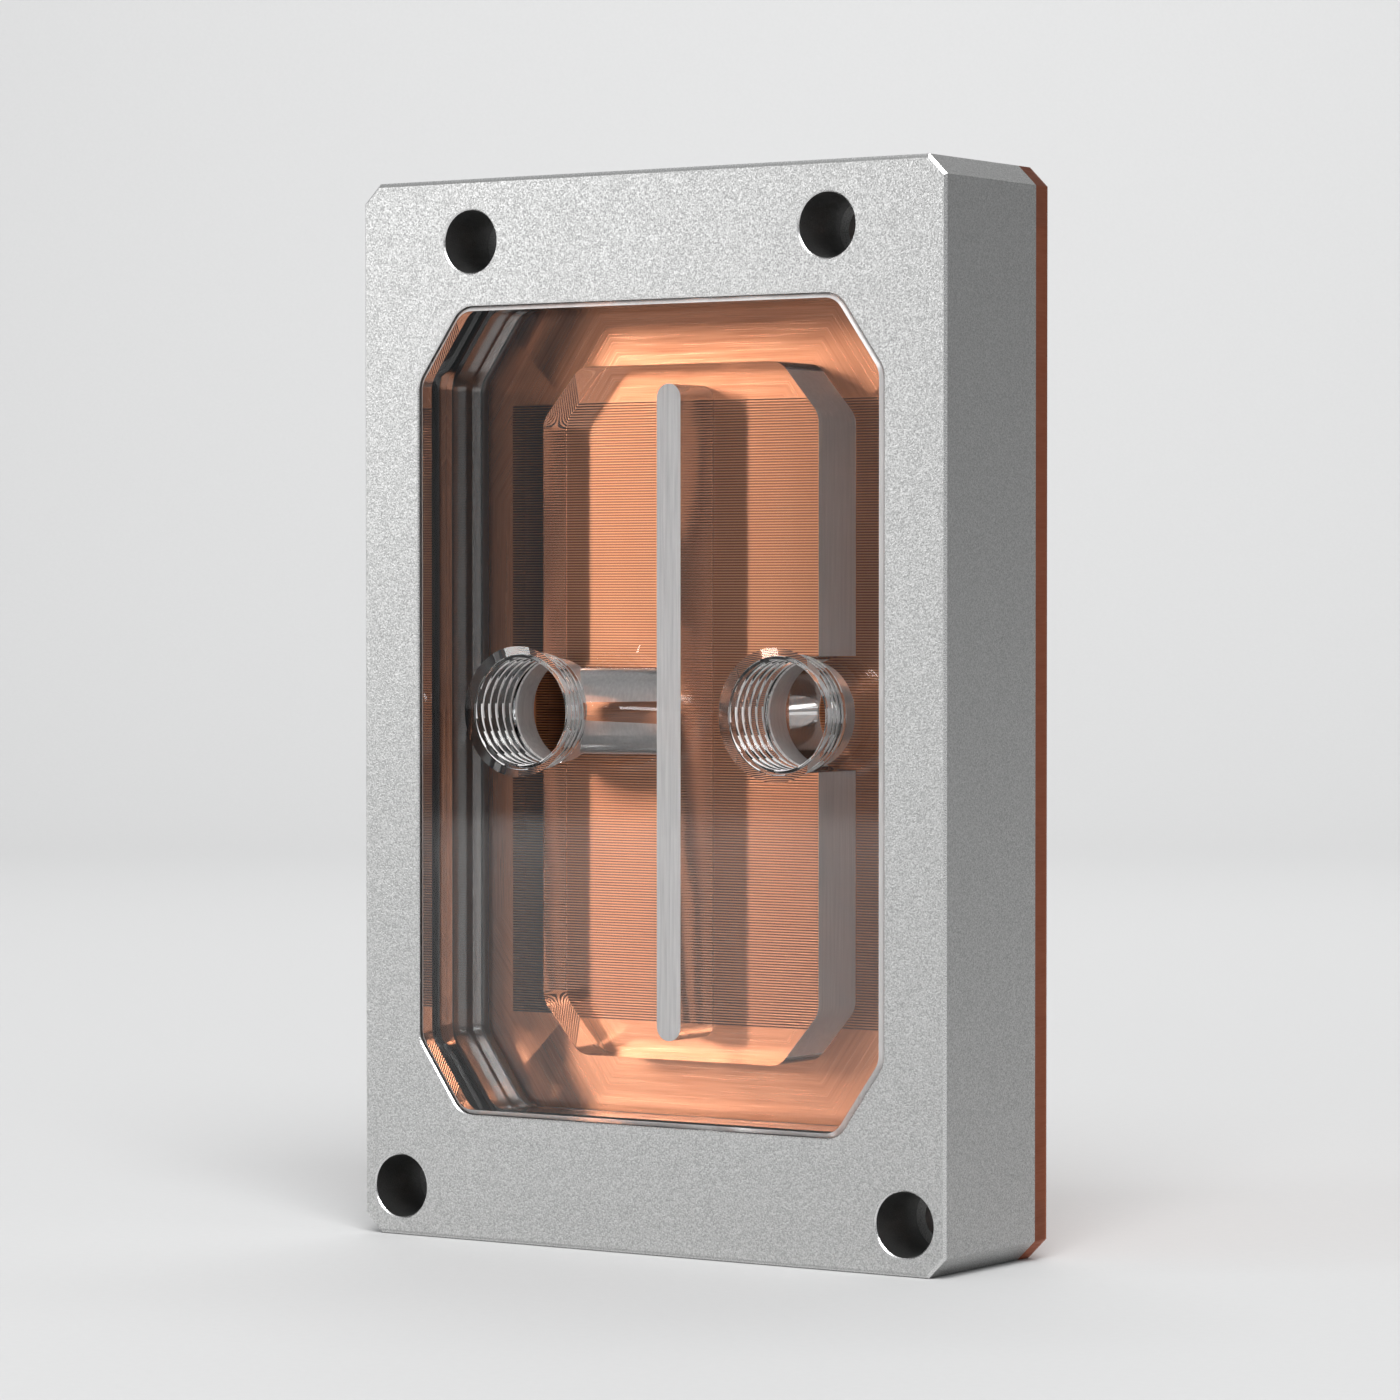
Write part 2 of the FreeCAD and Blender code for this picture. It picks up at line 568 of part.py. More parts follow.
def build_ports(body):
    """The inlet and outlet ports, with the ways that join them to the slot and the chamber."""
    inlet_x = "-Sizes.port_spacing / 2"
    outlet_x = "Sizes.port_spacing / 2"
    channel_middle = "Sizes.slot_depth + Sizes.channel_width / 2"
    for name, across, depth in [
        ("inlet", inlet_x, channel_middle),
        ("outlet", outlet_x, "Sizes.chamber_depth"),
    ]:
        sketch = front_sketch(body, name + "_port_centre", "0", across)
        add_circle(sketch, "Sizes.port_bore")
        pocket(body, name + "_port", sketch, depth)
    rims = rims_at(body, "Sizes.port_bore", "0")
    mouth_width = "(Sizes.port_mouth - Sizes.port_bore) / 2"
    bevel(body, "port_mouths", rims, "Sizes.mouth_depth", mouth_width)

    arch_place = "%s - %s" % (channel_middle, HALF_TOTAL)
    arch = new_sketch(body, "channel_section", "YZ_Plane", arch_place, MIDDLE, "0")
    add_arch(arch, "Sizes.channel_width", "Sizes.frame_depth - (%s)" % channel_middle)
    pocket(body, "inlet_channel", arch, "Sizes.port_spacing / 2")
    well = front_sketch(body, "well_outline", PLATE_BACK, inlet_x)
    add_circle(well, "Sizes.channel_width")
    well_height = "Sizes.frame_depth - (%s)" % channel_middle
    pocket(body, "inlet_well", well, well_height, towards_front=True)

    relief_height = "Sizes.frame_depth - Sizes.chamber_depth"
    round_end = front_sketch(body, "relief_end_outline", PLATE_BACK, outlet_x)
    add_circle(round_end, "Sizes.relief_width")
    pocket(body, "outlet_relief_end", round_end, relief_height, towards_front=True)
    # From the port's middle to halfway across the chamber, past the island's wall
    far_end = "(%s - Sizes.chamber_side) / 2" % WINDOW_WIDTH
    middle = "(Sizes.port_spacing / 2 + %s) / 2" % far_end
    straight = front_sketch(body, "relief_outline", PLATE_BACK, middle)
    add_rectangle(straight, "%s - Sizes.port_spacing / 2" % far_end, "Sizes.relief_width")
    pocket(body, "outlet_relief", straight, relief_height, towards_front=True)


def sink_screw_holes(body):
    """Countersinks in the cold face, a little wider than the screws' heads."""
    plain = "Sizes.screw_thread + 2 * Sizes.screw_clearance"
    rims = rims_at(body, plain, COLD_FACE)
    slope = "Sizes.screw_head_height / (Sizes.screw_head / 2 - Sizes.screw_thread / 2)"
    sunk = "Sizes.screw_head / 2 + Sizes.screw_head_sink + Sizes.screw_fit"
    across = "%s - (%s) / 2" % (sunk, plain)
    bevel(body, "countersinks", rims, "(%s) * %s" % (across, slope), across)


def build_cold_plate():
    """The copper plate: screw holes, edge break and the field of sawn micro-fins."""
    body = new_body("cold_plate")
    block_blank(body, PLATE_BACK, "Sizes.base_thickness")
    for name, spacing, level in MOUNT_PAIRS:
        sketch = front_sketch(body, name + "_pass_centres", PLATE_BACK, "0", level)
        add_circle_pair(sketch, spacing, "Sizes.mount_hole")
        pocket(body, name + "_pass_holes", sketch, "Sizes.base_thickness")
    for name, spacing, level in SCREW_PAIRS:
        sketch = front_sketch(body, name + "_screw_centres", PLATE_BACK, "0", level)
        plain = "Sizes.screw_thread + 2 * Sizes.screw_clearance"
        add_circle_pair(sketch, spacing, plain)
        pocket(body, name + "_screw_holes", sketch, "Sizes.base_thickness")
    sink_screw_holes(body)
    back_y = depth_to_y(body, COLD_FACE)
    half_x = number(body, "Sizes.frame_width / 2")
    top = number(body, "Sizes.frame_height")
    corner = number(body, "Sizes.frame_corner")

    def back_outline(edge):
        """Edges of the outline on the cold face."""
        if not lies_on_outline(edge, half_x, 0, top, back_y):
            return False
        centre = edge.CenterOfMass
        on_end = min(abs(centre.z), abs(centre.z - top)) < 0.01
        on_side = abs(abs(centre.x) - half_x) < 0.01
        by_corner = abs(centre.x) > half_x - corner and min(centre.z, top - centre.z) < corner
        return on_end or on_side or by_corner

    bevel(body, "back_edge_break", edge_names(body.Tip.Shape, back_outline), "Sizes.base_edge_break")

    start = "%s - %s / 2" % (MIDDLE, FIN_FIELD)
    face = "%s - %s" % (PLATE_BACK, HALF_TOTAL)
    saw_cut = new_sketch(body, "saw_cut_section", "XY_Plane", "0", face, start)
    add_fin_slot(saw_cut, FIN_LENGTH, "Sizes.fin_runout", "Sizes.fin_depth")
    cut = pocket(body, "saw_cut", saw_cut, "Sizes.fin_gap", towards_front=True)
    count = "floor((%s - Sizes.fin_gap) / Sizes.fin_pitch) + 1" % FIN_FIELD
    fins = body.newObject("PartDesign::LinearPattern", "micro_fins")
    fins.Originals = [cut]
    fins.Direction = (plane_of(body, "Z_Axis"), [""])
    fins.setExpression("Occurrences", count)
    fins.setExpression("Length", "(%s - 1) * Sizes.fin_pitch" % count)
    body.Tip = fins
    doc.recompute()
    return body


def build_seal():
    """The rubber ring, squeezed between the flow plate's seat and the copper."""
    body = new_body("perimeter_seal")
    front = "Sizes.frame_depth - Sizes.seal_height"
    outside = front_sketch(body, "seal_outside", front)
    add_octagon(outside, SEAL_SEAT)
    pad(body, "seal_blank", outside, "Sizes.seal_height")
    outer_radius = "Sizes.window_radius + Sizes.seal_seat_width"
    round_corners(body, "seal_outer_corners", SEAL_SEAT, outer_radius, front, PLATE_BACK)
    inside = front_sketch(body, "seal_inside", front)
    add_octagon(inside, SEAL_INSIDE)
    pocket(body, "seal_middle", inside, "Sizes.seal_height")
    inner_radius = "Sizes.window_radius + Sizes.seal_seat_width - Sizes.seal_width"
    round_corners(body, "seal_inner_corners", SEAL_INSIDE, inner_radius, front, PLATE_BACK)
    levels = [depth_to_y(body, front), depth_to_y(body, PLATE_BACK)]

    def rim(edge):
        """Edges round the ring on either flat side."""
        box = edge.BoundBox
        return any(abs(box.YMin - y) < 0.01 and abs(box.YMax - y) < 0.01 for y in levels)

    bevel(body, "seal_section", edge_names(body.Tip.Shape, rim), "Sizes.seal_bevel")
    return body


def build_screw(label, across, level):
    """One countersunk screw, its head just below the cold face and its tip towards the front."""
    shank = doc.addObject("Part::Cylinder", label + "_shank")
    shank.setExpression("Radius", "Sizes.screw_thread / 2")
    shank.setExpression("Height", "Sizes.screw_length - Sizes.screw_head_sink")
    head = doc.addObject("Part::Cone", label + "_head")
    head.setExpression("Radius1", "Sizes.screw_head / 2")
    head.setExpression("Radius2", "Sizes.screw_thread / 2")
    head.setExpression("Height", "Sizes.screw_head_height")
    solid = doc.addObject("Part::Fuse", label + "_blank")
    solid.Base = shank
    solid.Tool = head
    socket = doc.addObject("Part::Prism", label + "_socket")
    socket.Polygon = 6
    socket.setExpression("Circumradius", "Sizes.socket_across / 2 / cos(30)")
    socket.setExpression("Height", "Sizes.socket_depth")
    screw = doc.addObject("Part::Cut", label)
    screw.Label = label
    screw.Base = solid
    screw.Tool = socket
    # The screw is built up from its head, then laid over to point at the front face
    quarter_turn = FreeCAD.Rotation(FreeCAD.Vector(1, 0, 0), 90)
    screw.Placement = FreeCAD.Placement(FreeCAD.Vector(0, 0, 0), quarter_turn)
    screw.setExpression("Placement.Base.x", across)
    screw.setExpression("Placement.Base.y", "%s - Sizes.screw_head_sink" % HALF_TOTAL)
    screw.setExpression("Placement.Base.z", level)
    return screw


def build_screws():
    """All the screws, two for each pair of holes."""
    screws = []
    for _, spacing, level in SCREW_PAIRS:
        for side in ("-", ""):
            label = "cold_plate_screw_%02d" % (len(screws) + 1)
            screws.append(build_screw(label, "%s(%s) / 2" % (side, spacing), level))
    doc.recompute()
    return screws


def check(parts):
    """Stop if any object failed, or if any piece is empty or not valid."""
    for item in doc.Objects:
        if "Invalid" in item.State or "Error" in item.State:
            raise RuntimeError("%s failed: %s" % (item.Name, item.State))
    for piece in parts:
        if piece.Shape.isNull() or not piece.Shape.isValid() or not piece.Shape.Solids:
            raise RuntimeError("%s has no valid solid" % piece.Label)


pieces = [build_frame(), build_flow_plate(), build_cold_plate(), build_seal()]
pieces += build_screws()
check(pieces)
os.makedirs("parts", exist_ok=True)
for piece in pieces:
    piece.Shape.exportStep("parts/%s.step" % piece.Label)
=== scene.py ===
from math import cos, hypot, pi, radians, sin

import bmesh
import bpy
from mathutils import Matrix, Vector


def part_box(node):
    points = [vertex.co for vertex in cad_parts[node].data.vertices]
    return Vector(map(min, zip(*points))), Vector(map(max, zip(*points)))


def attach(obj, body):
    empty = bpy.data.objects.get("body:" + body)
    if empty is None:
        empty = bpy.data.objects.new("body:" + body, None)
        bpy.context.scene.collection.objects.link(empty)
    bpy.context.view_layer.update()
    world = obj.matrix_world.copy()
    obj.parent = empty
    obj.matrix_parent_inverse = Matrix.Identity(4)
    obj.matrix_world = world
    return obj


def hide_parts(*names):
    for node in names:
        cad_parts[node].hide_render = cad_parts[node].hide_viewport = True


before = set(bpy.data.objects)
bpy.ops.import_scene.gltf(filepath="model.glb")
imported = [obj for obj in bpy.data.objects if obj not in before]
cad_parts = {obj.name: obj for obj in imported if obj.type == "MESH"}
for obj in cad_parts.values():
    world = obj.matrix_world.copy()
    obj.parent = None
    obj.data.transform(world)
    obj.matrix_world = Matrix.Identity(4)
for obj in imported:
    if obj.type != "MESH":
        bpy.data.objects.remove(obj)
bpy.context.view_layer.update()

bl_info = {
    "name": "Liquid Cooling Cold Plate",
    "version": (1, 0, 0),
    "blender": (4, 5, 0),
    "location": "View3D > Sidebar > Cold Plate",
    "description": "Finishes, port threads and studio for a cold plate with a clear flow plate",
    "category": "Object",
}

MM = 0.001
FRONT_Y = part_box("clamp_frame")[0][1]
COLD_FACE_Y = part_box("cold_plate")[1][1]
PLATE_BACK_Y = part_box("flow_plate")[1][1]
FRAME_BACK_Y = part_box("clamp_frame")[1][1]
PORT_LEVEL = (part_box("flow_plate")[0][2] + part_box("flow_plate")[1][2]) / 2
SCREWS = sorted(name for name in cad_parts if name.startswith("cold_plate_screw"))
SAME_PLACE = 0.01 * MM

# Places on the copper, measured from the window's middle
TALLER_BY = 14.5 * MM
CORNER_SLOPE = (0.82, 0.572)
FIELD_HALF_WIDTH = 28.0 * MM
FIELD_HALF_HEIGHT = 34.8 * MM

# Places in the clear plate: depths are behind the front face, radii are from a port's middle
LIP_DEPTH = 4.0 * MM
BEVEL_DEPTH = 0.6 * MM
MOUTH_DEPTH = 0.72 * MM
MOUTH_RADIUS = 7.4 * MM
THREAD_OUTSIDE = 6.7 * MM
THREAD_FLANKS = (6.02 * MM, 6.48 * MM)
THREAD_RUNOUT = 0.2 * MM
BORE_RADIUS = 6.1 * MM
CHANNEL_ENDS = (-23.5 * MM, -1.4 * MM)
CHANNEL_HALF_WIDTH = 5.95 * MM
SLOT_CEILING = (7.9 * MM, 8.2 * MM)
SLOT_HALF_WIDTH = 1.7 * MM
SLOT_HALF_HEIGHT = 36.5 * MM
CHAMBER_CEILING = 11.0 * MM
ISLAND_SIDE = (14.0 * MM, 18.5 * MM)
ISLAND_HALF_HEIGHT = 38.8 * MM
POCKETS_END = 18.8 * MM

# Finishes of the clear plate, in the order of its materials
POLISHED, FROSTED, THREADED, SMOOTH, SATIN, MILKY = range(6)

# The studio, in metres
FLOOR_ENDS = (-4.0, 0.9)
FLOOR_HALF_WIDTH = 2.6
FLOOR_GAP = 0.05 * MM
SWEEP_RADIUS = 0.5
BACKDROP_TOP = 2.2
CAMERA_PLACE = (0.31915, -0.4782, 0.07167)
SENSOR_WIDTH = 36


def length(name, text, value):
    """A size in metres that a user may change."""
    return bpy.props.FloatProperty(
        name=name, description=text, default=value, precision=5, subtype="DISTANCE", unit="LENGTH")


def share(name, text, value):
    """A number from 0 to 1."""
    return bpy.props.FloatProperty(
        name=name, description=text, default=value, min=0, max=1, subtype="FACTOR")


def colour(name, text, value):
    """A colour in linear light."""
    return bpy.props.FloatVectorProperty(
        name=name, description=text, default=value, size=3, min=0, max=1, subtype="COLOR")


def bearing(name, text, value):
    """A turn, in radians."""
    return bpy.props.FloatProperty(
        name=name, description=text, default=value, subtype="ANGLE", unit="ROTATION")


def power(name, text, value):
    """A lamp's power in watts."""
    return bpy.props.FloatProperty(name=name, description=text, default=value, min=0, unit="POWER")


class MetalFinish(bpy.types.PropertyGroup):
    frame_colour: colour("Frame", "Bead blasted aluminium", (0.48, 0.48, 0.475))
    frame_roughness: share("Frame roughness", "How matt the blasting left it", 0.44)
    grain: length("Grain", "Width of one dimple left by blasting", 0.16 * MM)
    copper_colour: colour("Copper", "Bare copper", (0.80, 0.31, 0.155))
    copper_roughness: share("Copper roughness", "How matt the brushing left it", 0.31)
    stroke: length("Brush stroke", "Width of one brush stroke on the copper", 0.06 * MM)
    screw_colour: colour("Screw", "Plated steel of the screws", (0.42, 0.42, 0.43))


class ClearFinish(bpy.types.PropertyGroup):
    plate_colour: colour("Clear plate", "Tint of the clear plate", (0.985, 0.99, 0.99))
    milled_colour: colour("Milled walls", "Frosted walls that a cutter left", (0.98, 0.955, 0.945))
    cutter_mark: length("Cutter mark", "Distance between two passes of the cutter", 0.3 * MM)
    seal_colour: colour("Seal", "Black rubber of the seal ring", (0.012, 0.012, 0.013))


class PortThread(bpy.types.PropertyGroup):
    spacing: length("Port spacing", "Distance between the ports' middles", 34.1 * MM)
    root: length("Thread root", "Radius of the bore that the thread is cut from", 5.93 * MM)
    crest: length("Thread crest", "Radius to the bottom of the thread", 6.578 * MM)
    pitch: length("Thread pitch", "Advance of the thread in one turn", 1.337 * MM)
    depth: length("Thread depth", "How far the thread goes in behind the front face", 8.1 * MM)


class Studio(bpy.types.PropertyGroup):
    lens: bpy.props.FloatProperty(
        name="Lens", description="Focal length", default=132.83, unit="CAMERA")
    turn: bearing("Turn", "Turn of the camera to the object", radians(33.706))
    dip: bearing("Dip", "How far the camera looks down", radians(1.087))
    floor_colour: colour("Floor", "Pale floor and backdrop", (0.62, 0.62, 0.62))
    sky: share("Sky", "Strength of the even light from all round", 0.30)
    key: power("Key light", "Power of the soft light at the front left", 2.5)
    fill: power("Front fill", "Power of the light high at the front right", 16.0)
    overhead: power("Overhead light", "Power of the light above", 1.0)
    back: power("Backdrop light", "Power of the light on the backdrop", 9.5)


class Graph:
    """Short calls for placing and joining shader nodes in one tree."""

    def __init__(self, tree):
        self.tree = tree

    def add(self, kind, inputs=None, **settings):
        """A node of a kind, with settings, and with values or sockets for its inputs."""
        node = self.tree.nodes.new(kind)
        for name, value in settings.items():
            setattr(node, name, value)
        for name, value in (inputs or {}).items():
            self.feed(node.inputs[name], value)
        return node

    def feed(self, socket, value):
        """Join a socket to an input, or set the input's own value."""
        if isinstance(value, bpy.types.NodeSocket):
            self.tree.links.new(value, socket)
        else:
            socket.default_value = value

    def math(self, operation, first, second=0.0, third=0.0, clamp=False):
        """One sum of one to three values."""
        inputs = {0: first, 1: second, 2: third}
        return self.add("ShaderNodeMath", inputs, operation=operation, use_clamp=clamp).outputs[0]

    def vector(self, operation, first, second=(0, 0, 0)):
        """One sum of two vectors."""
        node = self.add("ShaderNodeVectorMath", {0: first, 1: second}, operation=operation)
        return node.outputs["Vector"]

    def spread(self, value, low, high, to_low, to_high):
        """A value moved from one range to another, and held inside it."""
        inputs = {
            "Value": value, "From Min": low, "From Max": high, "To Min": to_low, "To Max": to_high}
        return self.add("ShaderNodeMapRange", inputs).outputs["Result"]

    def blend(self, factor, first, second):
        """One colour changing to another."""
        return self.mix("RGBA", "Color", factor, first, second)

    def choose(self, factor, first, second):
        """One value changing to another."""
        return self.mix("FLOAT", "Float", factor, first, second)

    def mix(self, data_type, kind, factor, first, second):
        """The result of a Mix node, whose sockets share their labels."""
        node = self.add("ShaderNodeMix", data_type=data_type)
        for name, value in (("Factor_Float", factor), ("A_" + kind, first), ("B_" + kind, second)):
            self.feed(self.named(node.inputs, name), value)
        return self.named(node.outputs, "Result_" + kind)

    @staticmethod
    def named(sockets, name):
        """The socket with its own name, where several share a label."""
        return [socket for socket in sockets if socket.identifier == name][0]

    def noise(self, place, scale, detail=2.0, roughness=0.5):
        """A noise value, near 0.5, at a scale in features for each metre."""
        inputs = {"Vector": place, "Scale": scale, "Detail": detail, "Roughness": roughness}
        return self.add("ShaderNodeTexNoise", inputs).outputs["Fac"]

    def place(self):
        """The position on the object, in metres."""
        return self.add("ShaderNodeTexCoord").outputs["Object"]

    def parts(self, vector):
        """The three values that a vector holds."""
        return self.add("ShaderNodeSeparateXYZ", {0: vector}).outputs

    def facing(self):
        """How squarely a face looks to the front or the back, from 0 to 1."""
        normal = self.add("ShaderNodeNewGeometry").outputs["True Normal"]
        return self.math("ABSOLUTE", self.parts(normal)[1])

    def tidied(self, value):
        """A noise value stretched to run from 0 to 1."""
        return self.spread(value, 0.3, 0.7, 0.0, 1.0)

    def bump(self, height, strength, distance):
        """A normal roughened by a height."""
        inputs = {"Height": height, "Strength": strength, "Distance": distance}
        return self.add("ShaderNodeBump", inputs).outputs["Normal"]


def effect(name, inputs, outputs):
    """A new node group with named sockets; returns its graph, its way in and its way out."""
    tree = bpy.data.node_groups.new(name, "ShaderNodeTree")
    for label, kind, value in inputs:
        socket = tree.interface.new_socket(label, in_out="INPUT", socket_type="NodeSocket" + kind)
        if value is not None:
            socket.default_value = value
    for label, kind in outputs:
        tree.interface.new_socket(label, in_out="OUTPUT", socket_type="NodeSocket" + kind)
    way_in = tree.nodes.new("NodeGroupInput")
    way_out = tree.nodes.new("NodeGroupOutput")
    return Graph(tree), way_in.outputs, way_out.inputs


def blasted_grain():
    """Dimples of bead blasting: a shade and a height."""
    graph, given, made = effect(
        "Blasted Grain",
        [("Place", "Vector", None), ("Width", "Float", 0.0002)],
        [("Shade", "Float"), ("Height", "Float")])
    fine = graph.noise(given["Place"], graph.math("DIVIDE", 1.0, given["Width"]), 1.0, 0.7)
    graph.feed(made["Shade"], fine)
    graph.feed(made["Height"], fine)
    return graph.tree


def cut_edges():
    """1 on the slanted edge breaks round the front and the back, and 0 on all other faces."""
    graph, _, made = effect("Cut Edges", [], [("Mask", "Float")])
    facing = graph.facing()
    not_wall = graph.math("GREATER_THAN", facing, 0.4)
    not_face = graph.math("LESS_THAN", facing, 0.9)
    graph.feed(made["Mask"], graph.math("MULTIPLY", not_wall, not_face))
    return graph.tree


def brush_strokes():
    """Long fine strokes across one direction, with a few deeper ones."""
    graph, given, made = effect(
        "Brush Strokes",
        [("Across", "Float", 0.0), ("Along", "Float", 0.0),
         ("Width", "Float", 0.0001), ("Length", "Float", 0.01)],
        [("Shade", "Float"), ("Height", "Float")])
    across = graph.math("DIVIDE", given["Across"], given["Width"])
    along = graph.math("DIVIDE", given["Along"], given["Length"])
    place = graph.add("ShaderNodeCombineXYZ", {0: across, 1: along}).outputs[0]
    fine = graph.noise(place, 1.0, 2.0, 0.6)
    broad = graph.noise(graph.vector("MULTIPLY", place, (0.13, 0.6, 0.0)), 1.0, 2.0, 0.5)
    shade = graph.math("ADD", graph.math("MULTIPLY", fine, 0.6), graph.math("MULTIPLY", broad, 0.4))
    graph.feed(made["Shade"], shade)
    graph.feed(made["Height"], shade)
    return graph.tree


def cutter_marks():
    """Passes left by a milling cutter: even ridges across one direction, a little uneven."""
    graph, given, made = effect(
        "Cutter Marks",
        [("Place", "Vector", None), ("Across", "Float", 0.0), ("Spacing", "Float", 0.0003)],
        [("Ridges", "Float"), ("Streaks", "Float")])
    drift = graph.noise(given["Place"], 90.0, 2.0, 0.5)
    turns = graph.math("ADD", graph.math("DIVIDE", given["Across"], given["Spacing"]), drift)
    wave = graph.math("SINE", graph.math("MULTIPLY", turns, 2 * pi))
    graph.feed(made["Ridges"], graph.math("MULTIPLY_ADD", wave, 0.5, 0.5))
    stretched = graph.vector("MULTIPLY", given["Place"], (1.0, 1.0, 0.04))
    graph.feed(made["Streaks"], graph.noise(stretched, 2800.0, 2.0, 0.6))
    return graph.tree


EFFECTS = {}


def placed(graph, maker, inputs=None):
    """An effect's group, built once, placed in a material with its own values."""
    if maker.__name__ not in EFFECTS:
        EFFECTS[maker.__name__] = maker()
    node = graph.add("ShaderNodeGroup")
    node.node_tree = EFFECTS[maker.__name__]
    for name, value in (inputs or {}).items():
        graph.feed(node.inputs[name], value)
    return node.outputs


def new_material(name, **plain):
    """A material with plain values on its shader's own sockets."""
    material = bpy.data.materials.new(name)
    material.use_nodes = True
    graph = Graph(material.node_tree)
    shader = material.node_tree.nodes["Principled BSDF"]
    for label, value in plain.items():
        shader.inputs[label.replace("_", " ")].default_value = value
    return material, graph, shader.inputs


def toned(base, red, green=None, blue=None):
    """A colour made lighter or darker, evenly or by channel, as a socket's four values."""
    factors = (red, red if green is None else green, red if blue is None else blue)
    return tuple(min(part * factor, 1) for part, factor in zip(base, factors)) + (1,)


def finish_with(node, material):
    """Give a CAD node its finish."""
    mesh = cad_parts[node].data
    mesh.materials.clear()
    mesh.materials.append(material)


def new_piece(name, mesh, stands_for):
    """A piece that replaces CAD nodes and rides on the block."""
    piece = bpy.data.objects.new(name, mesh)
    bpy.context.scene.collection.objects.link(piece)
    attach(piece, "root")
    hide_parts(*stands_for)
    return piece


def copy_of(node):
    """A closed copy of a CAD node's mesh, ready to be worked on."""
    work = bmesh.new()
    work.from_mesh(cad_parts[node].data)
    bmesh.ops.remove_doubles(work, verts=work.verts, dist=0.002 * MM)
    return work


def run_modifiers(piece):
    """Apply all modifiers of a piece to its mesh."""
    bpy.context.view_layer.update()
    graph = bpy.context.evaluated_depsgraph_get()
    mesh = bpy.data.meshes.new_from_object(piece.evaluated_get(graph))
    piece.modifiers.clear()
    piece.data = mesh


def smooth_by_angle(mesh, angle):
    """Shade a mesh smooth, but for edges sharper than an angle."""
    work = bmesh.new()
    work.from_mesh(mesh)
    for face in work.faces:
        face.smooth = True
    for edge in work.edges:
        edge.smooth = len(edge.link_faces) == 2 and edge.calc_face_angle(0.0) < angle
    work.to_mesh(mesh)
    work.free()


def even_normals(piece, angle=radians(22)):
    """Smooth round walls while flat faces stay truly flat."""
    smooth_by_angle(piece.data, angle)
    modifier = piece.modifiers.new("Even normals", "WEIGHTED_NORMAL")
    modifier.keep_sharp = True
    modifier.weight = 100
    run_modifiers(piece)


def bore_shade_mask(graph, place):
    """1 on the walls of holes and of the window, where shade is painted, and 0 outside."""
    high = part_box("clamp_frame")[1]
    across, _, up = graph.parts(place)
    from_side = graph.math("SUBTRACT", high[0], graph.math("ABSOLUTE", across))
    from_end = graph.math("MINIMUM", up, graph.math("SUBTRACT", high[2], up))
    from_corner = graph.math("SUBTRACT", graph.math("ADD", from_side, from_end), 2.0 * MM)
    nearest = graph.math("MINIMUM", from_side, from_end)
    inside = graph.math("GREATER_THAN", graph.math("MINIMUM", nearest, from_corner), 0.4 * MM)
    return graph.math("MULTIPLY", inside, graph.math("LESS_THAN", graph.facing(), 0.3))


def aluminium():
    """Bead blasted aluminium, smoother on its machined cut edges, which also carry a painted
    highlight; painted shade darkens the walls of its holes and window.
    """
    look = bpy.context.scene.cold_plate_metal
    base = look.frame_colour
    material, graph, sockets = new_material("Blasted Aluminium", Metallic=1.0)
    place = graph.place()
    grain = placed(graph, blasted_grain, {"Place": place, "Width": look.grain})
    edge = placed(graph, cut_edges)["Mask"]
    grained = graph.blend(graph.tidied(grain["Shade"]), toned(base, 0.74), toned(base, 1.26))
    # Painted highlight: the cut edges are lightened towards 1.7 times the base colour, besides
    # being machined smoother
    edge_highlighted = graph.blend(graph.math("MULTIPLY", edge, 0.8), grained, toned(base, 1.7))
    # Painted shade: the walls of holes and of the window are darkened towards 0.42 of the base
    # colour
    bore_shade = graph.math("MULTIPLY", bore_shade_mask(graph, place), 0.85)
    graph.feed(sockets["Base Color"], graph.blend(bore_shade, edge_highlighted, toned(base, 0.42)))
    matt = look.frame_roughness
    rough = graph.spread(grain["Shade"], 0.3, 0.7, matt + 0.06, matt - 0.06)
    graph.feed(sockets["Roughness"], graph.math("MULTIPLY_ADD", edge, -0.18, rough))
    graph.feed(sockets["Normal"], graph.bump(grain["Height"], 0.6, 0.05 * MM))
    return material


